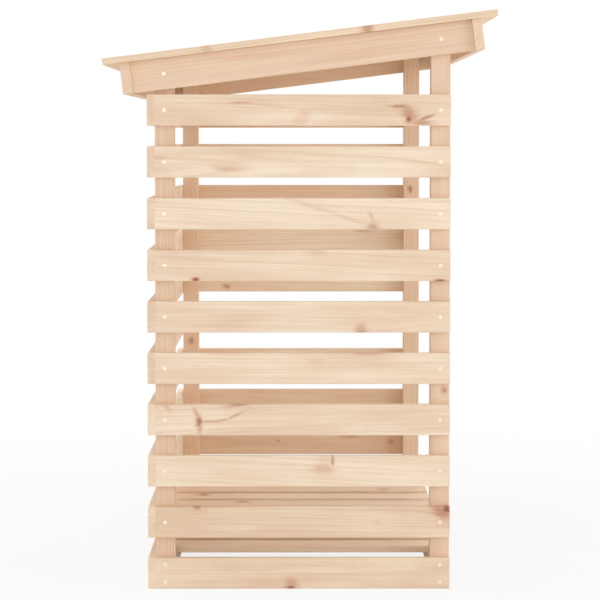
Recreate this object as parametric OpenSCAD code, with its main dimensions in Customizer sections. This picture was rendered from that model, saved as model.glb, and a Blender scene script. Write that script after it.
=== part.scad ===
/* [Overall size] */
// Length of the roof along the open front
roof_length = 1080; // [800:5:1400]
// Depth of the roof from its front edge to its back edge, measured level
roof_depth = 730; // [560:5:950]
// Height of the roof's front edge above the ground
front_height = 1080; // [860:5:1400]
// Fall of the roof towards the back, in degrees
roof_slope = 7.1; // [2:0.1:12]

/* [Roof] */
// Width of one roof board
roof_board_width = 58; // [44:1:95]
// Thickness of the roof boards
roof_board_thickness = 12; // [8:0.5:20]
// Least gap between two roof boards
roof_board_gap = 2; // [0.5:0.5:6]
// Distance along the slope from the ends of the roof boards to the outer face of a rail
rail_setback = 30; // [10:1:45]
// Thickness of the front and back roof rails
rail_thickness = 18; // [12:1:24]
// Depth of the roof rails below the roof boards
rail_depth = 58; // [40:1:75]
// Length of a roof rail past the outer face of a rafter, at each end
rail_reach = 10; // [0:1:18]
// Depth of the side rafters below the roof boards
rafter_depth = 58; // [40:1:75]
// Thickness of the side rafters
rafter_thickness = 14; // [8:0.5:20]

/* [Walls] */
// Roof overhang past the slats at each side
side_overhang = 20; // [12:1:50]
// Roof overhang past the front posts
front_overhang = 85; // [75:1:120]
// Roof overhang past the back slats
back_overhang = 81; // [75:1:120]
// Width of the square posts
post_width = 36; // [28:1:50]
// Number of slats up each wall
slat_rows = 10; // [4:1:14]
// Width of one slat
slat_width = 58; // [40:1:70]
// Thickness of the slats
slat_thickness = 14; // [8:0.5:20]
// Clear height between the top slats and the lowest point of the rafter above them
top_slat_clearance = 5; // [2:0.5:20]

/* [Floor] */
// Height of the floor's upper face above the ground
floor_height = 70; // [60:1:150]
// Thickness of the floor boards
floor_board_thickness = 12; // [8:0.5:20]
// Width of one floor board
floor_board_width = 58; // [44:1:95]
// Widest gap allowed between two floor boards
floor_board_gap = 32; // [10:1:60]
// Clear space between an outermost floor board and the posts
floor_end_clearance = 2; // [1:1:40]
// Depth of the floor bearers, front and back
bearer_depth = 36; // [28:1:48]
// Thickness of the floor bearers
bearer_thickness = 36; // [18:1:50]

/* [Hidden] */
slat_colour = "#E9D0B4";
post_colour = "#E1BEA5";
rafter_colour = "#E1C2A5";
rail_colour = "#E6C8AD";
roof_colour = "#EBD1B6";
floor_colour = "#D8B796";

// Faces of the post frame. The front is at -Y, and left is at -X.
wall_outer_x = roof_length / 2 - side_overhang;
post_outer_x = wall_outer_x - slat_thickness;
post_inner_x = post_outer_x - post_width;
frame_front_y = front_overhang - roof_depth / 2;
wall_back_y = roof_depth / 2 - back_overhang;
frame_back_y = wall_back_y - slat_thickness;
back_post_y = frame_back_y - post_width;

// Slope of the roof: lengths along it, and heights below it.
roof_board_length = (roof_depth - roof_board_thickness * sin(roof_slope)) / cos(roof_slope);
rafter_length = roof_board_length - 2 * (rail_setback + rail_thickness);
rafter_outer_x = post_outer_x + rafter_thickness;
rail_length = 2 * (rafter_outer_x + rail_reach);
rafter_drop = rafter_depth / cos(roof_slope);

// Height of the roof boards' underside above the ground at a place y.
function roof_underside(y) =
    front_height - roof_board_thickness * cos(roof_slope) - (y + roof_depth / 2) * tan(roof_slope);

// Slats start on the ground and end just under the lowest point of the rafters over the back wall.
wall_top_z = roof_underside(wall_back_y) - rafter_drop - top_slat_clearance;
slat_pitch = (wall_top_z - slat_width) / (slat_rows - 1);

roof_board_count = floor((roof_length + roof_board_gap) / (roof_board_width + roof_board_gap));
roof_board_pitch = (roof_length - roof_board_width) / (roof_board_count - 1);

floor_length = 2 * (post_inner_x - floor_end_clearance);
floor_board_count = ceil((floor_length + floor_board_gap) / (floor_board_width + floor_board_gap));
floor_board_pitch = (floor_length - floor_board_width) / (floor_board_count - 1);
bearer_top_z = floor_height - floor_board_thickness;

// Slats are numbered from the ground up.
function slat_name(wall, row) = str(wall, "_slat_", row < 10 ? "0" : "", row);

// Place children in the roof's own frame: Y runs down the slope from the front ends of the
// roof boards, and Z is square to the slope with 0 at the boards' underside.
module on_roof_slope() {
    translate([0, -roof_depth / 2, roof_underside(-roof_depth / 2)])
        rotate([-roof_slope, 0, 0])
            children();
}

// Square post from the ground to the roof boards, its top cut to the slope.
// side is -1 for left and 1 for right, and y is the post's front face.
module post(side, y) {
    post_middle_x = side * (post_outer_x + post_inner_x) / 2;
    color(post_colour)
        difference() {
            translate([post_middle_x - post_width / 2, y, 0])
                cube([post_width, post_width, front_height]);
            on_roof_slope()
                translate([-roof_length / 2, 0, 0])
                    cube([roof_length, roof_board_length, front_height]);
        }
}

// Level slat on the outer faces of a front post and a back post.
module side_slat(side, row) {
    slat_middle_x = side * (wall_outer_x + post_outer_x) / 2;
    color(slat_colour)
        translate([slat_middle_x - slat_thickness / 2, frame_front_y, (row - 1) * slat_pitch])
            cube([slat_thickness, frame_back_y - frame_front_y, slat_width]);
}

// Level slat on the back posts, which also covers the back ends of the side slats.
module back_slat(row) {
    color(slat_colour)
        translate([-wall_outer_x, frame_back_y, (row - 1) * slat_pitch])
            cube([2 * wall_outer_x, slat_thickness, slat_width]);
}

// Bearer under the floor boards, fixed between two posts. y is its front face.
module floor_bearer(y) {
    color(floor_colour)
        translate([-post_inner_x, y, bearer_top_z - bearer_depth])
            cube([2 * post_inner_x, bearer_thickness, bearer_depth]);
}

// Spaced floor boards, which run from front to back on the two bearers.
module floor_boards() {
    color(floor_colour)
        for (i = [0 : floor_board_count - 1])
            translate([i * floor_board_pitch - floor_length / 2, frame_front_y, bearer_top_z])
                cube([floor_board_width, frame_back_y - frame_front_y, floor_board_thickness]);
}

// Sloping side rafter on the outer faces of the posts, between the two roof rails.
module rafter(side) {
    rafter_middle_x = side * (post_outer_x + rafter_outer_x) / 2;
    color(rafter_colour)
        on_roof_slope()
            translate([rafter_middle_x - rafter_thickness / 2, rail_setback + rail_thickness, -rafter_depth])
                cube([rafter_thickness, rafter_length, rafter_depth]);
}

// Roof rail along the length, square to the slope and fixed to the ends of the rafters.
// along is the distance from the front ends of the roof boards to its front face.
module roof_rail(along) {
    color(rail_colour)
        on_roof_slope()
            translate([-rail_length / 2, along, -rail_depth])
                cube([rail_length, rail_thickness, rail_depth]);
}

// Roof boards, laid side by side along the length, each in one piece from front to back.
module roof_boards() {
    color(roof_colour)
        on_roof_slope()
            for (i = [0 : roof_board_count - 1])
                translate([i * roof_board_pitch - roof_length / 2, 0, 0])
                    cube([roof_board_width, roof_board_length, roof_board_thickness]);
}

post(-1, frame_front_y);  // post_front_left
post(1, frame_front_y);  // post_front_right
post(-1, back_post_y);  // post_back_left
post(1, back_post_y);  // post_back_right
for (row = [1 : slat_rows]) {
    side_slat(-1, row);
    side_slat(1, row);
    back_slat(row);
}
floor_bearer(frame_front_y);  // floor_bearer_front
floor_bearer(frame_back_y - bearer_thickness);  // floor_bearer_back
floor_boards();
rafter(-1);  // rafter_left
rafter(1);  // rafter_right
roof_rail(rail_setback);  // roof_rail_front
roof_rail(roof_board_length - rail_setback - rail_thickness);  // roof_rail_back
roof_boards();
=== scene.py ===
import math
import random
import bmesh
import bpy
import numpy as np
from mathutils import Matrix, Vector


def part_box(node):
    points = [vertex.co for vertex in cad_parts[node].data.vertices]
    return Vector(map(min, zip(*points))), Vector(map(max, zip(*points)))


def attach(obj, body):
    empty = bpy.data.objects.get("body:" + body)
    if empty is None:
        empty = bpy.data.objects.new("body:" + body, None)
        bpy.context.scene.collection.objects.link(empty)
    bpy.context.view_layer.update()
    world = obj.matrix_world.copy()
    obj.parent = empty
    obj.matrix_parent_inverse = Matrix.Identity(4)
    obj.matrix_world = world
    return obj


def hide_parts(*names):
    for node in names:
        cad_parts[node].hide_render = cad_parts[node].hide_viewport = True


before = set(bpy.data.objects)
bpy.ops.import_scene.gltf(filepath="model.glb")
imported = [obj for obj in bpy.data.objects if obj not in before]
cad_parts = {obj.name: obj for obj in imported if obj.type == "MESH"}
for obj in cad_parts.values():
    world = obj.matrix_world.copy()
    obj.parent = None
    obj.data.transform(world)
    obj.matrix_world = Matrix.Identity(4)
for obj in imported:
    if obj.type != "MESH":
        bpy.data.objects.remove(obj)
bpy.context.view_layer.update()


# Four square posts of planed pine stand on the ground and carry everything else.
# Each is crosscut square at the foot, sawn to the roof's slope at the top, and has
# its edges lightly rounded. Rafters and slats are screwed to their outer faces.
MM = 0.001
EDGE_ROUND = 1.1 * MM
END_EASE = 0.3 * MM
ROUND_STEPS = 2
NO_MATERIAL = -1


def linear(hex_colour):
    """An sRGB hex colour as the linear colour a shader socket takes."""
    parts = [int(hex_colour[i : i + 2], 16) / 255 for i in (1, 3, 5)]
    return [c / 12.92 if c <= 0.04045 else ((c + 0.055) / 1.055) ** 2.4 for c in parts] + [1]


def add(tree, kind, inputs=None, stops=(), **settings):
    """Adds one node with its settings. An input takes a value, a socket, or another node,
    which gives its first output. stops are a ramp's places and greys, its first and last
    ahead of the rest."""
    made = tree.nodes.new("ShaderNode" + kind)
    for key, value in settings.items():
        setattr(made, key, value)
    for key, value in (inputs or {}).items():
        if isinstance(value, bpy.types.Node):
            value = next(output for output in value.outputs if output.enabled)
        if isinstance(value, bpy.types.NodeSocket):
            tree.links.new(value, made.inputs[key])
        else:
            made.inputs[key].default_value = value
    for i, (place, grey) in enumerate(stops):
        elements = made.color_ramp.elements
        stop = elements[i] if i < 2 else elements.new(place)
        stop.position = place
        stop.color = (grey, grey, grey, 1)
    return made


# The two colour inputs of a Mix node.
MIX_A, MIX_B = 6, 7
# Good and poor years come in runs of about three, which move the rings by about one.
RUNS_PER_RING = 0.3
RUN_SHIFT = 2.4
FAINTEST_YEAR = 0.15
KNOT_LAYERS = [f"knot_{letter}" for letter in "abcdefgh"]
# How far from its middle a knot pushes the rings, stains the wood and is brown, each as
# where it ends and where it is full. 1 is the knot's own half size.
PUSH_REACH = (6.0, 0.8)
HALO_REACH = (3.2, 1.0)
HEART_REACH = (2.2, 0.8)
WEAK_KNOT = 0.35
RINGS_PUSHED = 1.5
HALO_SHARE = 0.85
# How much bands and fibres turn the wood from pink to cream and from dark to light.
BAND_TONE = 0.22
BAND_SHADE = 0.022
FIBRE_SHADE = 0.045
MEAN_SHADE = 0.972
END_GRAIN_SHADE = 0.06
# Hard latewood stands up half as far as a fibre does. The face is silky to dull.
LATEWOOD_RELIEF = 0.5
GRAIN_DEPTH = 0.2 * MM
SILKY, DULL = 0.52, 0.68


def planed_pine(name, pink, cream, latewood, knots=4):
    """Bare planed pine. The growth rings give soft tan lines that run along a board, knots
    part them, the colour drifts between cream and pink, and fibres give a dull, silky face.
    knots is the most that one board has."""
    made = bpy.data.materials.new(name)
    made.use_nodes = True
    tree = made.node_tree
    tree.nodes.clear()
    grain = add(tree, "Attribute", attribute_name="grain").outputs["Vector"]
    board = add(tree, "Attribute", attribute_name="board").outputs["Vector"]
    tone, ring_width, contrast = add(tree, "SeparateXYZ", {0: board}).outputs
    end_grain = add(tree, "Attribute", attribute_name="end_grain").outputs["Fac"]

    # Each pattern: how many times it repeats in a metre along and across the grain, its detail,
    # and the values that it spreads between. A trunk isn't a true cylinder, so its rings wander
    # by 2 mm over 300 mm, and a little more over 60 mm. Fibres are under 0.05 mm wide: they are
    # drawn as 2.5 by 90 mm streaks in 6 by 250 mm bands, so that they show. Haze makes the
    # rings faint over patches of about 20 by 170 mm.
    patterns = {}
    for pattern, along, across, detail, low, high in (
        ("long_wander", 3.4, 15, 1, -0.34, 0.34),
        ("short_wander", 15, 60, 2, -0.09, 0.09),
        ("ragged", 50, 170, 2, 0.1, 0.9),
        ("fibre", 11, 400, 3, 0.0, 1.0),
        ("band", 4, 170, 2, -1.0, 1.0),
        ("drift", 5, 20, 2, -0.5, 0.5),
        ("canal", 60, 700, 1, -2.0, 0.28),
        ("haze", 6, 45, 1, 0.25, 1.0),
    ):
        repeats = (along, across, across)
        spot = add(tree, "VectorMath", {0: grain, 1: repeats}, operation="MULTIPLY")
        cloud = add(tree, "TexNoise", {"Vector": spot, "Scale": 1, "Detail": detail})
        # Noise keeps mostly between a quarter and three quarters.
        spread = {0: cloud, 1: 0.25, 2: 0.75, 3: low, 4: high}
        patterns[pattern] = add(tree, "MapRange", spread, clamp=False)

    # Rings are cylinders round the pith, which lies along x of the grain's own space.
    from_pith = add(tree, "VectorMath", {0: grain, 1: (0, 1, 1)}, operation="MULTIPLY")
    radius = add(tree, "VectorMath", {0: from_pith}, operation="LENGTH")
    rings = add(tree, "Math", {0: radius, 1: ring_width}, operation="DIVIDE")
    rings = add(tree, "Math", {0: rings, 1: patterns["long_wander"]}, operation="ADD")
    rings = add(tree, "Math", {0: rings, 1: patterns["short_wander"]}, operation="ADD")
    # Runs of good and poor years make wide and narrow rings.
    run = {"W": rings, "Scale": RUNS_PER_RING, "Detail": 0}
    seasons = add(tree, "TexNoise", run, noise_dimensions="1D")
    rings = add(tree, "Math", {0: seasons, 1: RUN_SHIFT, 2: rings}, operation="MULTIPLY_ADD")

    # The rings part round each knot, which has a brown heart in a pinkish halo. A weak one is
    # only a pinkish stain.
    heart = halo = 0.0
    for layer in KNOT_LAYERS[:knots]:
        knot = add(tree, "Attribute", attribute_name=layer).outputs["Vector"]
        sideways, strength = add(tree, "SeparateXYZ", {0: knot}).outputs[1:]
        flat = add(tree, "VectorMath", {0: knot, 1: (1, 1, 0)}, operation="MULTIPLY")
        away = add(tree, "VectorMath", {0: flat}, operation="LENGTH")
        away = add(tree, "Math", {0: away, 1: patterns["ragged"]}, operation="ADD")
        hard = add(tree, "MapRange", {0: strength, 1: WEAK_KNOT, 2: 1.0})
        reach = {0: away, 1: PUSH_REACH[0], 2: PUSH_REACH[1]}
        near = add(tree, "MapRange", reach, interpolation_type="SMOOTHERSTEP")
        push = add(tree, "Math", {0: sideways}, operation="TANH")
        push = add(tree, "Math", {0: push, 1: near}, operation="MULTIPLY")
        push = add(tree, "Math", {0: push, 1: hard}, operation="MULTIPLY")
        rings = add(tree, "Math", {0: push, 1: -RINGS_PUSHED, 2: rings}, operation="MULTIPLY_ADD")
        reach = {0: away, 1: HALO_REACH[0], 2: HALO_REACH[1]}
        glow = add(tree, "MapRange", reach, interpolation_type="SMOOTHSTEP")
        glow = add(tree, "Math", {0: glow, 1: strength}, operation="MULTIPLY")
        halo = add(tree, "Math", {0: glow, 1: halo}, operation="MAXIMUM")
        reach = {0: away, 1: HEART_REACH[0], 2: HEART_REACH[1]}
        core = add(tree, "MapRange", reach, interpolation_type="SMOOTHSTEP")
        core = add(tree, "Math", {0: core, 1: hard}, operation="MULTIPLY")
        heart = add(tree, "Math", {0: core, 1: heart}, operation="MAXIMUM")

    # In one ring the wood darkens from earlywood to latewood, and drops back at the next
    # spring. Some years show more than others.
    within = add(tree, "Math", {0: rings}, operation="FRACT")
    profile = ((0.0, 0.5), (1.0, 0.5), (0.2, 0.08), (0.48, 0.0), (0.72, 0.5), (0.87, 1.0))
    late = add(tree, "ValToRGB", {0: within}, stops=profile)
    year = add(tree, "Math", {0: rings}, operation="FLOOR")
    year = add(tree, "TexWhiteNoise", {"W": year}, noise_dimensions="1D")
    year = add(tree, "MapRange", {0: year.outputs["Value"], 3: FAINTEST_YEAR, 4: 1.0})
    late = add(tree, "Math", {0: late, 1: year}, operation="MULTIPLY")
    late = add(tree, "Math", {0: late, 1: contrast}, operation="MULTIPLY")
    late = add(tree, "Math", {0: late, 1: patterns["haze"]}, operation="MULTIPLY", use_clamp=True)

    # The colour of sound wood, from pinkish to creamy, with the rings, bands and fibres in it.
    creamy = add(tree, "Math", {0: tone, 1: patterns["drift"]}, operation="ADD")
    band_share = {0: patterns["band"], 1: BAND_TONE, 2: creamy}
    creamy = add(tree, "Math", band_share, operation="MULTIPLY_ADD", use_clamp=True)
    pale = {0: creamy, MIX_A: linear(pink), MIX_B: linear(cream)}
    colour = add(tree, "Mix", pale, data_type="RGBA")
    colour = add(tree, "Mix", {0: late, MIX_A: colour, MIX_B: linear(latewood)}, data_type="RGBA")
    band_share = {0: patterns["band"], 1: BAND_SHADE, 2: MEAN_SHADE}
    shade = add(tree, "Math", band_share, operation="MULTIPLY_ADD")
    fibre_share = {0: patterns["fibre"], 1: FIBRE_SHADE, 2: shade}
    shade = add(tree, "Math", fibre_share, operation="MULTIPLY_ADD")
    colour = add(tree, "VectorMath", {0: colour, "Scale": shade}, operation="SCALE")

    # Over it lie resin canals, which show as short brown flecks, the knots, and sawn end
    # grain, which drinks in a little more light than a planed face.
    canal = add(tree, "Math", {0: patterns["canal"], 1: 0.0}, operation="MAXIMUM")
    halo = add(tree, "Math", {0: halo, 1: HALO_SHARE}, operation="MULTIPLY")
    sawn = add(tree, "Math", {0: end_grain, 1: END_GRAIN_SHADE}, operation="MULTIPLY")
    for share, brown in (
        (canal, "#C79E74"),
        (halo, "#D1977A"),
        (heart, "#8F573A"),
        (sawn, "#C99A74"),
    ):
        over = {0: share, MIX_A: colour, MIX_B: linear(brown)}
        colour = add(tree, "Mix", over, data_type="RGBA")

    relief = {0: late, 1: LATEWOOD_RELIEF, 2: patterns["fibre"]}
    relief = add(tree, "Math", relief, operation="MULTIPLY_ADD")
    bump = add(tree, "Bump", {"Strength": 0.3, "Distance": GRAIN_DEPTH, "Height": relief})
    roughness = add(tree, "MapRange", {0: patterns["fibre"], 3: SILKY, 4: DULL})
    look = {"Base Color": colour, "Roughness": roughness, "Normal": bump}
    look.update({"IOR": 1.5, "Specular IOR Level": 0.35})
    wood = add(tree, "BsdfPrincipled", look)
    add(tree, "OutputMaterial", {"Surface": wood})
    return made


# A seat's cutter stands clear of the face, so that its rim is cut clean.
SEAT_RADIUS = 4.05 * MM
SEAT_DEPTH = 3.0 * MM
SEAT_CLEAR = 1.0 * MM
SEAT_SIDES = 20


def cut_away(mesh, cutter):
    """The mesh with the cutter's solids taken out of it. Uses up both."""
    tool_mesh = bpy.data.meshes.new("cutter")
    cutter.to_mesh(tool_mesh)
    cutter.free()
    tool = bpy.data.objects.new("cutter", tool_mesh)
    blank = bpy.data.objects.new("blank", mesh)
    for part in (tool, blank):
        bpy.context.scene.collection.objects.link(part)
    cut = blank.modifiers.new("cut", "BOOLEAN")
    cut.operation = "DIFFERENCE"
    cut.solver = "EXACT"
    cut.use_self = True
    cut.object = tool
    ready = blank.evaluated_get(bpy.context.evaluated_depsgraph_get())
    left = bpy.data.meshes.new_from_object(ready)
    for part in (tool, blank):
        bpy.data.objects.remove(part)
    for used in (tool_mesh, mesh):
        bpy.data.meshes.remove(used)
    return left


def cut_screw_seats(mesh, thickness, screws):
    """Countersinks a board for its screws: (along, across, side), where side is 1 or -1
    for its +z or -z face."""
    if not screws:
        return mesh
    cutter = bmesh.new()
    for along, across, side in screws:
        lean = Matrix.Rotation(0 if side > 0 else math.pi, 4, "X")
        middle = side * (thickness / 2 + (SEAT_CLEAR - SEAT_DEPTH) / 2)
        bmesh.ops.create_cone(
            cutter,
            cap_ends=True,
            segments=SEAT_SIDES,
            radius1=SEAT_RADIUS - SEAT_DEPTH,
            radius2=SEAT_RADIUS + SEAT_CLEAR,
            depth=SEAT_DEPTH + SEAT_CLEAR,
            matrix=Matrix.Translation((along, across, middle)) @ lean,
        )
    return cut_away(mesh, cutter)


# A face that looks mostly along x is a sawn end, and an edge that runs so is a long one.
MOSTLY = 0.8


def write_figure(mesh, figure):
    """Writes where each point of a board lies in the tree it was sawn from. All sizes in
    figure are in mm. pith is (across, deep, lean across, lean deep): the line that the
    rings go round, and how far it leans over the board's length. Each knot is
    (along, across, half length, half width, strength, lean in degrees)."""
    points = np.empty(len(mesh.vertices) * 3)
    mesh.vertices.foreach_get("co", points)
    along, across, deep = points.reshape(-1, 3).T / MM
    pith_across, pith_deep, lean_across, lean_deep = figure["pith"]
    from_pith = (
        along + figure["start"],
        across - pith_across - lean_across * along,
        deep - pith_deep - lean_deep * along,
    )
    layers = {"grain": np.stack(from_pith, 1) * MM}
    look = (figure["tone"], figure["ring"] * MM, figure["contrast"])
    layers["board"] = np.tile(look, (len(along), 1))
    # A knot that a board hasn't got lies 100 m away.
    no_knot = (1e5, 0, 1, 1, 0, 0)
    for i, layer in enumerate(KNOT_LAYERS):
        knot = (figure["knots"] + [no_knot] * len(KNOT_LAYERS))[i]
        at, up, half_length, half_width, strength, lean = knot
        lean = math.radians(lean)
        lengthways = (along - at) * math.cos(lean) + (across - up) * math.sin(lean)
        sideways = (across - up) * math.cos(lean) - (along - at) * math.sin(lean)
        outward = math.copysign(1, up - pith_across)
        parts = (lengthways / half_length, outward * sideways / half_width, 0 * along + strength)
        layers[layer] = np.stack(parts, 1)
    for layer, values in layers.items():
        made = mesh.attributes.new(layer, "FLOAT_VECTOR", "POINT")
        made.data.foreach_set("vector", values.astype(np.float32).ravel())
    sawn = mesh.attributes.new("end_grain", "FLOAT", "FACE")
    sawn.data.foreach_set("value", [float(abs(face.normal.x) > MOSTLY) for face in mesh.polygons])


def bevel_edges(shape, edges, offset, steps):
    """Rounds these edges in so many steps. One step is a flat chamfer."""
    bmesh.ops.bevel(
        shape,
        geom=edges,
        offset=offset,
        offset_type="OFFSET",
        segments=steps,
        profile=0.5,
        affect="EDGES",
        material=NO_MATERIAL,
    )


# A board whose top is sawn to a slope starts this much too long.
SAW_WASTE = 5 * MM


def pine_board(name, size, place, figure, material, screws=(), top_plane=None):
    """One board: length along x, width along y and thickness along z, then set in place.
    top_plane is a point and a normal: what stands past it is sawn off."""
    shape = bmesh.new()
    bmesh.ops.create_cube(shape, size=1)
    bmesh.ops.scale(shape, vec=size, verts=shape.verts)
    if top_plane:
        top = [vert for vert in shape.verts if vert.co.x > 0]
        bmesh.ops.translate(shape, vec=(SAW_WASTE, 0, 0), verts=top)
    long_edges = [
        edge for edge in shape.edges
        if abs((edge.verts[1].co - edge.verts[0].co).normalized().x) > MOSTLY
    ]
    bevel_edges(shape, long_edges, EDGE_ROUND, ROUND_STEPS)
    if top_plane:
        cut = bmesh.ops.bisect_plane(
            shape,
            geom=shape.verts[:] + shape.edges[:] + shape.faces[:],
            plane_co=top_plane[0],
            plane_no=top_plane[1],
            clear_outer=True,
        )
        open_edges = [e for e in cut["geom_cut"] if isinstance(e, bmesh.types.BMEdge)]
        bmesh.ops.edgeloop_fill(shape, edges=open_edges)
        bmesh.ops.recalc_face_normals(shape, faces=shape.faces)
    ends = [face for face in shape.faces if abs(face.normal.x) > MOSTLY]
    bevel_edges(shape, [edge for face in ends for edge in face.edges], END_EASE, 1)
    mesh = bpy.data.meshes.new(name)
    shape.to_mesh(mesh)
    shape.free()
    mesh = cut_screw_seats(mesh, size[2], screws)
    mesh.name = name
    write_figure(mesh, figure)
    mesh.transform(place)
    mesh.materials.clear()
    mesh.materials.append(material)
    board = bpy.data.objects.new(name, mesh)
    bpy.context.scene.collection.objects.link(board)
    return board


def stand_at(middle, along, across, deep):
    """The place of a board whose length, width and thickness lie along these three ways."""
    turn = Matrix((along, across, deep)).transposed()
    return Matrix.Translation(middle) @ turn.to_4x4()


def box_frame(node, along, across):
    """The size and place of a board that fills a CAD node's box."""
    low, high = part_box(node)
    deep = along.cross(across)
    span = high - low
    size = Vector([abs(axis.dot(span)) for axis in (along, across, deep)])
    return size, stand_at((low + high) / 2, along, across, deep)


MOST_KNOTS = 4
KNOT_CHANCE = 0.5
FLAT_SAWN_CHANCE = 0.3


def any_figure(draw, length, width):
    """A likely figure for a board, in the sizes that write_figure takes: up to four small
    knots, and sawn either flat, close over the pith, or from well beside it."""
    knots = []
    while len(knots) < MOST_KNOTS and draw.random() < KNOT_CHANCE:
        at = draw.uniform(-0.46, 0.46) * length / MM
        up = draw.uniform(-0.45, 0.45) * width / MM
        half = draw.uniform(1.8, 4.2)
        strength = draw.uniform(0.3, 0.75)
        knots.append((at, up, half * draw.uniform(1.0, 1.6), half, strength, draw.uniform(-30, 30)))
    flat_sawn = draw.random() < FLAT_SAWN_CHANCE
    aside = draw.uniform(-12, 12) if flat_sawn else draw.uniform(55, 110) * draw.choice((-1, 1))
    return {
        "start": draw.uniform(0, 9000),
        "pith": (
            aside,
            draw.uniform(40, 75) if flat_sawn else draw.uniform(15, 35),
            draw.uniform(-0.03, 0.03),
            draw.uniform(-0.02, 0.02),
        ),
        "ring": draw.uniform(4.5, 8.5),
        "tone": draw.uniform(0.2, 0.8),
        "contrast": draw.uniform(0.4, 0.8),
        "knots": knots,
    }


frame_pine = planed_pine("frame_pine_planed", "#E7C8AD", "#ECD2B5", "#D3AE8B")
along_x, along_y, along_z = (Vector(axis) for axis in ((1, 0, 0), (0, 1, 0), (0, 0, 1)))
draw = random.Random(3)
# The tops of the posts' front faces give the roof's slope.
front_low, front_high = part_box("post_front_left")
back_low, back_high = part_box("post_back_left")
roof_angle = math.atan((front_high.z - back_high.z) / (back_low.y - front_low.y))
# What is set for each post's figure. The rest of it is drawn at random.
post_figures = {
    "post_front_left": {"tone": 0.1, "contrast": 1.1, "knots": [(-157, -9, 4, 3, 0.6, 0)]},
    "post_back_left": {"tone": 0.1, "contrast": 1.1, "knots": []},
    "post_front_right": {"contrast": 0.9, "knots": [(195, 3, 6, 4, 0.7, 0)]},
    "post_back_right": {"tone": 0.0, "knots": [(-129, 0, 6, 5, 0.62, 0)]},
}
for node in ("post_front_left", "post_front_right", "post_back_left", "post_back_right"):
    size, place = box_frame(node, along_z, along_y)
    top = size.x / 2
    front_edge = -size.y / 2
    slope_normal = Vector((math.cos(roof_angle), math.sin(roof_angle), 0))
    figure = any_figure(draw, size.x, size.y)
    figure.update(post_figures[node])
    post = pine_board(
        f"{node}_timber",
        size,
        place,
        figure,
        frame_pine,
        top_plane=(Vector((top, front_edge, 0)), slope_normal),
    )
    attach(post, "root")
    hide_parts(node)


# Two square bearers of the same pine run from side to side between the posts, a little
# above the ground. Screws through the lowest side slats hold them.
for node in ("floor_bearer_front", "floor_bearer_back"):
    size, place = box_frame(node, along_x, along_y)
    figure = any_figure(draw, size.x, size.y)
    bearer = pine_board(f"{node}_timber", size, place, figure, frame_pine)
    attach(bearer, "root")
    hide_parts(node)


# Eleven thin planed boards lie from front to back across the bearers with gaps between
# them. Each is held by one countersunk screw into each bearer, of pressed steel with a
# plain cross recess. All the other boards have the same screws.
FLOOR_BOARDS = 11
BOARD_WIDTH = 58 * MM
# The middle of a post or a bearer is this far in from its face.
POST_LINE = 18 * MM
HEAD_RADIUS = 3.72 * MM
HEAD_FOOT = 1.7 * MM
HEAD_DEPTH = 2.1 * MM
HEAD_SUNK = 0.3 * MM
HEAD_SIDES = 16
RIM_ROUND = 0.3 * MM
RECESS = (4.2 * MM, 0.9 * MM, 1.6 * MM)
PLATE_PATCH = 1 * MM
PLATE_BRIGHT, PLATE_DULL = 0.46, 0.56
screw_turns = random.Random(8)


def zinc_plated_steel():
    """Pressed steel screws with bright zinc plate: a pale, warm metal with a soft gloss, a
    little duller where the plate is thin."""
    made = bpy.data.materials.new("screw_zinc_plated_steel")
    made.use_nodes = True
    tree = made.node_tree
    tree.nodes.clear()
    # Plate is uneven over about 1 mm.
    spot = add(tree, "TexCoord").outputs["Object"]
    plate = add(tree, "TexNoise", {"Vector": spot, "Scale": 1 / PLATE_PATCH, "Detail": 2})
    spread = {0: plate, 1: 0.3, 2: 0.7, 3: PLATE_BRIGHT, 4: PLATE_DULL}
    roughness = add(tree, "MapRange", spread)
    tones = {0: plate, MIX_A: linear("#ECDEC9"), MIX_B: linear("#F5E8D5")}
    colour = add(tree, "Mix", tones, data_type="RGBA")
    look = {"Base Color": colour, "Roughness": roughness, "Metallic": 1.0}
    metal = add(tree, "BsdfPrincipled", look)
    add(tree, "OutputMaterial", {"Surface": metal})
    return made


def screw_head():
    """A countersunk head with a cross recess, its top just under z = 0."""
    shape = bmesh.new()
    bmesh.ops.create_cone(
        shape,
        cap_ends=True,
        segments=HEAD_SIDES,
        radius1=HEAD_FOOT,
        radius2=HEAD_RADIUS,
        depth=HEAD_DEPTH,
        matrix=Matrix.Translation((0, 0, -HEAD_SUNK - HEAD_DEPTH / 2)),
    )
    rim_floor = -HEAD_SUNK - RIM_ROUND
    rim = [edge for edge in shape.edges if all(vert.co.z > rim_floor for vert in edge.verts)]
    bevel_edges(shape, rim, RIM_ROUND, 2)
    head = bpy.data.meshes.new("screw_head")
    shape.to_mesh(head)
    shape.free()
    recess = bmesh.new()
    for turn in (0, math.pi / 2):
        bar = bmesh.ops.create_cube(recess, size=1)["verts"]
        bmesh.ops.scale(recess, vec=RECESS, verts=bar)
        bmesh.ops.rotate(recess, matrix=Matrix.Rotation(turn, 3, "Z"), verts=bar)
    bmesh.ops.translate(recess, vec=(0, 0, -HEAD_SUNK), verts=recess.verts)
    return cut_away(head, recess)


def screw_places(place, thickness, screws):
    """Where a board's screw heads go: each one's own z points out of the face it is in."""
    places = []
    for along, across, side in screws:
        face = Matrix.Translation((along, across, side * thickness / 2))
        lean = Matrix.Rotation(0 if side > 0 else math.pi, 4, "X")
        turn = Matrix.Rotation(screw_turns.uniform(0, math.pi), 4, "Z")
        places.append(place @ face @ lean @ turn)
    return places


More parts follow.
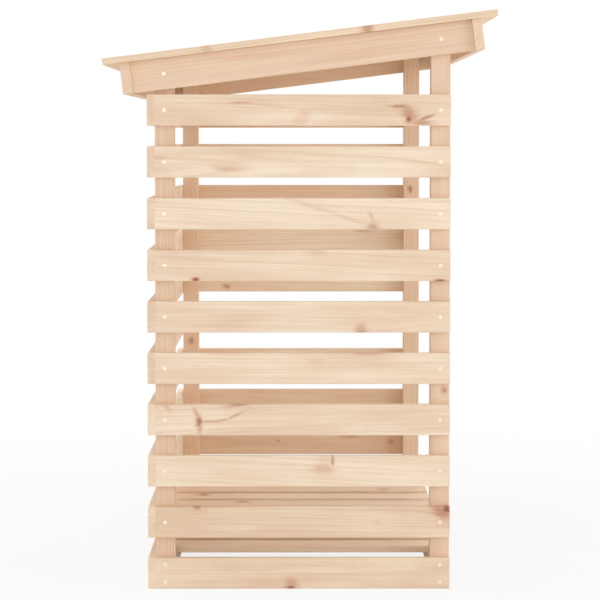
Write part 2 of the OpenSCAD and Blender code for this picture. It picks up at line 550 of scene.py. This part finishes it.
def drive_screws(name, places):
    """All the screws of one part of the store, as one piece."""
    shape = bmesh.new()
    for place in places:
        known = len(shape.verts)
        shape.from_mesh(head_mesh)
        shape.verts.ensure_lookup_table()
        bmesh.ops.transform(shape, matrix=place, verts=shape.verts[known:])
    mesh = bpy.data.meshes.new(name)
    shape.to_mesh(mesh)
    shape.free()
    mesh.materials.clear()
    mesh.materials.append(screw_steel)
    screws = bpy.data.objects.new(name, mesh)
    bpy.context.scene.collection.objects.link(screws)
    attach(screws, "root")


head_mesh = screw_head()
screw_steel = zinc_plated_steel()
floor_pine = planed_pine("floor_pine_planed", "#EACDB0", "#F4DFC6", "#DBB995")
size, place = box_frame("floor_boards", along_y, along_x)
step = (size.y - BOARD_WIDTH) / (FLOOR_BOARDS - 1)
bearer_line = size.x / 2 - POST_LINE
# A floor board's own z points down, so its upper face is the -z one.
floor_top = -1
# Three of the boards have a large knot, and no other.
floor_knots = {
    5: [(125, 12, 12, 9, 0.62, 0)],
    6: [(212, 12, 10, 9, 0.7, 0)],
    7: [(-179, -8, 10, 9, 0.6, 0)],
}
floor_screws = []
for i in range(FLOOR_BOARDS):
    board_size = Vector((size.x, BOARD_WIDTH, size.z))
    board_place = place @ Matrix.Translation((0, (i - (FLOOR_BOARDS - 1) / 2) * step, 0))
    screws = [(-bearer_line, 0, floor_top), (bearer_line, 0, floor_top)]
    floor_screws += screw_places(board_place, size.z, screws)
    figure = any_figure(draw, size.x, BOARD_WIDTH)
    figure["knots"] = floor_knots.get(i, figure["knots"])
    name = f"floor_board_{i + 1:02d}"
    board = pine_board(name, board_size, board_place, figure, floor_pine, screws)
    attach(board, "root")
    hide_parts("floor_boards")
drive_screws("floor_screws", floor_screws)


# Ten planed pine slats close each side, level, with open gaps between them. They are
# face-screwed to the posts: one screw an end, and two in the lowest, which also holds
# the floor bearers.
SLAT_ROWS = 10
SCREW_PAIR = (-16 * MM, 16 * MM)
slat_pine = planed_pine("slat_pine_planed", "#E5C8AC", "#F4E1C9", "#D8B591", knots=8)
# The figure of each slat on the left by its row, and what is set for some on the right.
left_figures = {
    10: {
        "pith": (-95, 25, 0.02, 0.0), "ring": 7.5, "tone": 0.35, "contrast": 0.5,
        "knots": [
            (-178, 7, 14, 2.6, 0.62, 0),
            (-198, -6, 15, 8, 0.58, 42),
            (-197, -17, 5, 5, 0.9, 0),
            (-229, -14, 13, 2.4, 0.68, -20),
            (-222, -24, 14, 4, 0.56, 0),
            (116, 13.5, 14, 1.6, 0.48, 0),
            (58, 8, 34, 1.6, 0.25, 6),
            (1, -15, 12, 7, 0.34, -50),
        ],
    },
    9: {
        "pith": (-13, 56.5, 0.012, -0.022), "ring": 4.2, "tone": 0.65, "contrast": 0.8,
        "knots": [(142, -11, 16, 4, 0.42, 6), (275, 8, 12, 3, 0.3, 0)],
    },
    8: {
        "pith": (-100, 30, 0.05, 0.0), "ring": 7.5, "tone": 0.8, "contrast": 0.55,
        "knots": [
            (-50, 3, 62, 2.4, 0.28, 18.6),
            (-131, -25, 8, 5, 0.55, 0),
            (-128, -5, 7, 2.6, 0.4, 65),
            (-214, 22, 50, 1.4, 0.2, 0),
        ],
    },
    7: {
        "pith": (-110, 20, 0.03, 0.0), "ring": 8.0, "tone": 0.45, "contrast": 0.5,
        "knots": [
            (199, -26, 4.5, 3, 0.95, 0),
            (-256, -28, 8, 2, 0.9, 0),
            (-25, 26, 12, 5, 0.32, 0),
            (120, 8, 60, 1.6, 0.2, 2),
        ],
    },
    6: {
        "pith": (95, 20, 0.0, 0.0), "ring": 7.0, "tone": 0.45, "contrast": 0.55,
        "knots": [
            (-108, -21, 8, 6, 0.48, 0),
            (-107, -28, 8, 2.5, 0.6, 0),
            (95, 4, 42, 1.8, 0.22, 0),
            (100, -5, 38, 1.6, 0.2, 0),
            (-185, -21, 48, 1.6, 0.18, -8),
        ],
    },
    5: {
        "pith": (-85, 20, 0.0, 0.0), "ring": 6.5, "tone": 0.4, "contrast": 0.6,
        "knots": [
            (-125, 29, 20, 2.6, 0.45, 0),
            (145, 29, 26, 2.6, 0.35, 0),
            (-25, 14, 9, 3, 0.25, 0),
        ],
    },
    4: {
        "pith": (-75, 30, -0.03, 0.0), "ring": 7.5, "tone": 0.45, "contrast": 0.8,
        "knots": [
            (193, -3, 4.5, 8, 0.75, 0),
            (198, 12, 9, 2.8, 0.5, 62),
            (192, -15, 8, 3.2, 0.48, 90),
            (175, -3, 14, 1.8, 0.48, 0),
            (150, -0.5, 12, 1.8, 0.48, -10),
            (126, 8, 16, 1.8, 0.5, -26),
            (120, 28, 18, 3, 0.55, -8),
            (253, 24, 8, 2.4, 0.4, 45),
        ],
    },
    3: {
        "pith": (75, 25, 0.045, 0.0), "ring": 6.5, "tone": 0.75, "contrast": 0.6,
        "knots": [
            (-56, 19, 2.4, 8, 0.58, 0),
            (-41, 16, 10, 8, 0.28, 0),
            (-38, 4, 14, 6, 0.43, 0),
        ],
    },
    2: {
        "pith": (-95, 25, 0.01, 0.0), "ring": 7.5, "tone": 0.2, "contrast": 0.8,
        "knots": [
            (-269, 26, 6, 6, 0.95, 0),
            (-260, 20, 15, 9, 0.62, 35),
            (-272, 6, 12, 10, 0.34, 0),
            (198, 28, 6, 3, 0.65, 0),
            (193, 20, 10, 5, 0.2, 0),
        ],
    },
    1: {
        "pith": (85, 20, 0.0, 0.0), "ring": 8.0, "tone": 0.35, "contrast": 0.45,
        "knots": [(22, -27, 7, 4, 0.85, 0), (20, -19, 9, 6, 0.48, 30)],
    },
}
right_figures = {
    8: {"tone": 0.05},
    7: {"knots": [(-148, 17, 14, 2, 0.45, 0)]},
    6: {"knots": [(175, -17, 7, 4, 0.6, 0)]},
    2: {
        "tone": -0.1, "contrast": 0.9,
        "knots": [(-115, 12, 14, 2, 0.5, 0), (-212, 0, 6, 5, 0.5, 0), (53, 2, 3, 2.2, 0.5, 0)],
    },
}
side_screws = {"left": [], "right": []}
for row in range(SLAT_ROWS, 0, -1):
    for side, outer_face in (("left", -1), ("right", 1)):
        node = f"{side}_slat_{row:02d}"
        size, place = box_frame(node, along_y, along_z)
        figure = any_figure(draw, size.x, size.y)
        figure.update(left_figures[row] if side == "left" else right_figures.get(row, {}))
        heights = SCREW_PAIR if row == 1 else (0,)
        ends = (-size.x / 2 + POST_LINE, size.x / 2 - POST_LINE)
        screws = [(end, height, outer_face) for end in ends for height in heights]
        side_screws[side] += screw_places(place, size.z, screws)
        slat = pine_board(f"{node}_board", size, place, figure, slat_pine, screws)
        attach(slat, "root")
        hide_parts(node)
for side, places in side_screws.items():
    drive_screws(f"{side}_wall_screws", places)


# Ten more slats of the same pine close the back. They run over the ends of the side
# slats and are screwed to the back posts at the same heights.
back_screws = []


def middle_line(node, axis):
    """Where the middle of a CAD node lies: axis is 0, 1 or 2 for x, y or z."""
    low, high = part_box(node)
    return (low[axis] + high[axis]) / 2


for row in range(SLAT_ROWS, 0, -1):
    node = f"back_slat_{row:02d}"
    size, place = box_frame(node, along_x, along_z)
    post_centre = middle_line("post_back_right", 0)
    heights = SCREW_PAIR if row == 1 else (0,)
    screws = [(end * post_centre, height, -1) for end in (-1, 1) for height in heights]
    back_screws += screw_places(place, size.z, screws)
    figure = any_figure(draw, size.x, size.y)
    slat = pine_board(f"{node}_board", size, place, figure, slat_pine, screws)
    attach(slat, "root")
    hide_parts(node)
drive_screws("back_wall_screws", back_screws)


# Two rafters of planed pine stand on edge against the outer faces of the posts and give
# the roof its slope. One screw holds each to each post.
ROOF_BOARD_THICKNESS = 12 * MM
RAFTER_DEPTH = 58 * MM
roof_low, roof_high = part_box("roof_boards")
roof_origin = Vector((0, roof_low.y, roof_high.z - ROOF_BOARD_THICKNESS * math.cos(roof_angle)))
roof_turn = Matrix.Rotation(-roof_angle, 4, "X")
down_slope = roof_turn @ along_y
off_slope = roof_turn @ along_z


def reach_down_slope(node):
    """Where a 58 mm deep timber under the roof starts and ends, down the slope."""
    low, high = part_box(node)
    start = (low.y - roof_origin.y + RAFTER_DEPTH * math.sin(roof_angle)) / math.cos(roof_angle)
    return start, (high.y - roof_origin.y) / math.cos(roof_angle)


left_rafter = {
    "pith": (-105, 20, 0.0, 0.0), "ring": 8.5, "tone": 0.3, "contrast": 0.65,
    "knots": [(90, 12, 50, 4, 0.26, 2), (-110, -8, 60, 5, 0.24, -2)],
}
roof_screws = []
for node, outer_face in (("rafter_left", -1), ("rafter_right", 1)):
    low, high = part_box(node)
    start, end = reach_down_slope(node)
    size = Vector((end - start, RAFTER_DEPTH, high.x - low.x))
    middle = roof_origin + down_slope * (start + end) / 2 - off_slope * RAFTER_DEPTH / 2
    middle.x = middle_line(node, 0)
    place = stand_at(middle, down_slope, off_slope, along_x)
    screws = []
    for post in ("post_front_left", "post_back_left"):
        from_middle = middle_line(post, 1) - middle.y
        screws.append((from_middle / math.cos(roof_angle), 0, outer_face))
    roof_screws += screw_places(place, size.z, screws)
    figure = any_figure(draw, size.x, size.y)
    if node == "rafter_left":
        figure.update(left_rafter)
    rafter = pine_board(f"{node}_board", size, place, figure, frame_pine, screws)
    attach(rafter, "root")
    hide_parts(node)


# Two thicker rails of the same pine lie across the ends of the rafters, square to the
# slope, and tie the sides together. Two screws go into each rafter's end.
for node, outer_face in (("roof_rail_front", -1), ("roof_rail_back", 1)):
    low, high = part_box(node)
    start, end = reach_down_slope(node)
    size = Vector((high.x - low.x, RAFTER_DEPTH, end - start))
    middle = roof_origin + down_slope * (start + end) / 2 - off_slope * RAFTER_DEPTH / 2
    place = stand_at(middle, along_x, off_slope, -down_slope)
    rafter_x = middle_line("rafter_right", 0)
    screws = [(x, height, -outer_face) for x in (-rafter_x, rafter_x) for height in SCREW_PAIR]
    roof_screws += screw_places(place, size.z, screws)
    figure = any_figure(draw, size.x, size.y)
    rail = pine_board(f"{node}_board", size, place, figure, frame_pine, screws)
    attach(rail, "root")
    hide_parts(node)


# Eighteen thin planed boards cover the roof side by side, running down the slope, with
# 2 mm between them. Each is screwed down into both rails.
ROOF_BOARDS = 18
roof_pine = planed_pine("roof_pine_planed", "#E8CBAE", "#F0DABC", "#D6B28C")
roof_reach = roof_high.y - roof_low.y - ROOF_BOARD_THICKNESS * math.sin(roof_angle)
roof_length = roof_reach / math.cos(roof_angle)
step = (roof_high.x - roof_low.x - BOARD_WIDTH) / (ROOF_BOARDS - 1)
rail_lines = [sum(reach_down_slope(node)) / 2 for node in ("roof_rail_front", "roof_rail_back")]
for i in range(ROOF_BOARDS):
    middle = roof_origin + down_slope * roof_length / 2 + off_slope * ROOF_BOARD_THICKNESS / 2
    middle.x = (i - (ROOF_BOARDS - 1) / 2) * step
    place = stand_at(middle, down_slope, -along_x, off_slope)
    size = Vector((roof_length, BOARD_WIDTH, ROOF_BOARD_THICKNESS))
    screws = [(line - roof_length / 2, 0, 1) for line in rail_lines]
    roof_screws += screw_places(place, size.z, screws)
    figure = any_figure(draw, roof_length, BOARD_WIDTH)
    if i == 0:
        figure["knots"] = [(-125, 27, 8, 6, 0.6, 0), (174, 27, 6, 5, 0.4, 0)]
    board = pine_board(f"roof_board_{i + 1:02d}", size, place, figure, roof_pine, screws)
    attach(board, "root")
    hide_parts("roof_boards")
drive_screws("roof_screws", roof_screws)


# The floor and the light are a plain studio: a pale floor and large soft lamps set low all
# round, so that light also comes in between the slats.
FLOOR_HALF = 20
FLOOR_SHADE = 0.9
FADE_FROM, FADE_TO = 0.7, 2.0
LEAST_WHITE = 0.82


def seen_directly(tree):
    """1 for what the camera sees, also in metal and through glass, and 0 for other light."""
    seen = add(tree, "LightPath").outputs
    direct = {0: seen["Is Camera Ray"], 1: seen["Is Glossy Ray"]}
    direct = add(tree, "Math", direct, operation="ADD")
    direct = {0: direct, 1: seen["Is Transmission Ray"]}
    return add(tree, "Math", direct, operation="ADD", use_clamp=True)


floor_mesh = bpy.data.meshes.new("studio_floor")
sheet = bmesh.new()
bmesh.ops.create_grid(sheet, x_segments=1, y_segments=1, size=FLOOR_HALF)
sheet.to_mesh(floor_mesh)
sheet.free()
studio_floor = bpy.data.objects.new("studio_floor", floor_mesh)
bpy.context.scene.collection.objects.link(studio_floor)
paint = bpy.data.materials.new("studio_floor_paint")
paint.use_nodes = True
tree = paint.node_tree
tree.nodes.clear()
lit = add(tree, "BsdfDiffuse", {"Color": (FLOOR_SHADE, FLOOR_SHADE, FLOOR_SHADE, 1)})
white = add(tree, "Emission", {"Color": (1, 1, 1, 1), "Strength": 1.0})
# Near the object the floor keeps a light shadow, and from 2 m out it is as white as the
# background.
spot = add(tree, "TexCoord").outputs["Object"]
away = add(tree, "VectorMath", {0: spot}, operation="LENGTH")
fade = {0: away, 1: FADE_FROM, 2: FADE_TO, 3: LEAST_WHITE, 4: 1.0}
share = add(tree, "MapRange", fade, interpolation_type="SMOOTHSTEP")
share = add(tree, "Math", {0: share, 1: seen_directly(tree)}, operation="MULTIPLY")
mixed = add(tree, "MixShader", {0: share, 1: lit, 2: white})
add(tree, "OutputMaterial", {"Surface": mixed})
floor_mesh.materials.append(paint)

WORLD_LIGHT = 0.72
world = bpy.data.worlds.new("studio")
bpy.context.scene.world = world
world.use_nodes = True
tree = world.node_tree
tree.nodes.clear()
strength = add(tree, "MapRange", {0: seen_directly(tree), 3: WORLD_LIGHT, 4: 1.0})
sky = add(tree, "Background", {"Color": (1, 1, 1, 1), "Strength": strength})
add(tree, "OutputWorld", {"Surface": sky})

LAMP_WIDTH = 3.6
LAMP_AIM = Vector((0, 0, 0.5))
for name, spot, power in (
    ("left_lamp", (-5.0, 1.0, 0.9), 45),
    ("front_lamp", (-2.2, -4.8, 1.3), 106),
    ("right_lamp", (5.0, -1.0, 1.8), 66),
    ("back_lamp", (1.0, 5.0, 1.8), 76),
):
    lamp = bpy.data.lights.new(name, "AREA")
    lamp.shape = "SQUARE"
    lamp.size = LAMP_WIDTH
    lamp.energy = power
    stand = bpy.data.objects.new(name, lamp)
    stand.location = spot
    stand.rotation_euler = (LAMP_AIM - Vector(spot)).to_track_quat("-Z", "Y").to_euler()
    bpy.context.scene.collection.objects.link(stand)


# The camera looks nearly square at the left side from 3.9 m away. It stands above the
# middle and looks a little down.
DEGREES_DOWN = 2.543
DEGREES_ASIDE = 0.137
lens = bpy.data.cameras.new("camera")
lens.lens = 125.54
lens.sensor_width = 36
lens.shift_y = -0.12
camera = bpy.data.objects.new("camera", lens)
camera.location = (-4.4033, 0.0091, 0.8485)
camera.rotation_euler = (math.radians(90 - DEGREES_DOWN), 0, math.radians(-90 - DEGREES_ASIDE))
bpy.context.scene.collection.objects.link(camera)
bpy.context.scene.camera = camera
bpy.context.scene.view_settings.view_transform = "Standard"
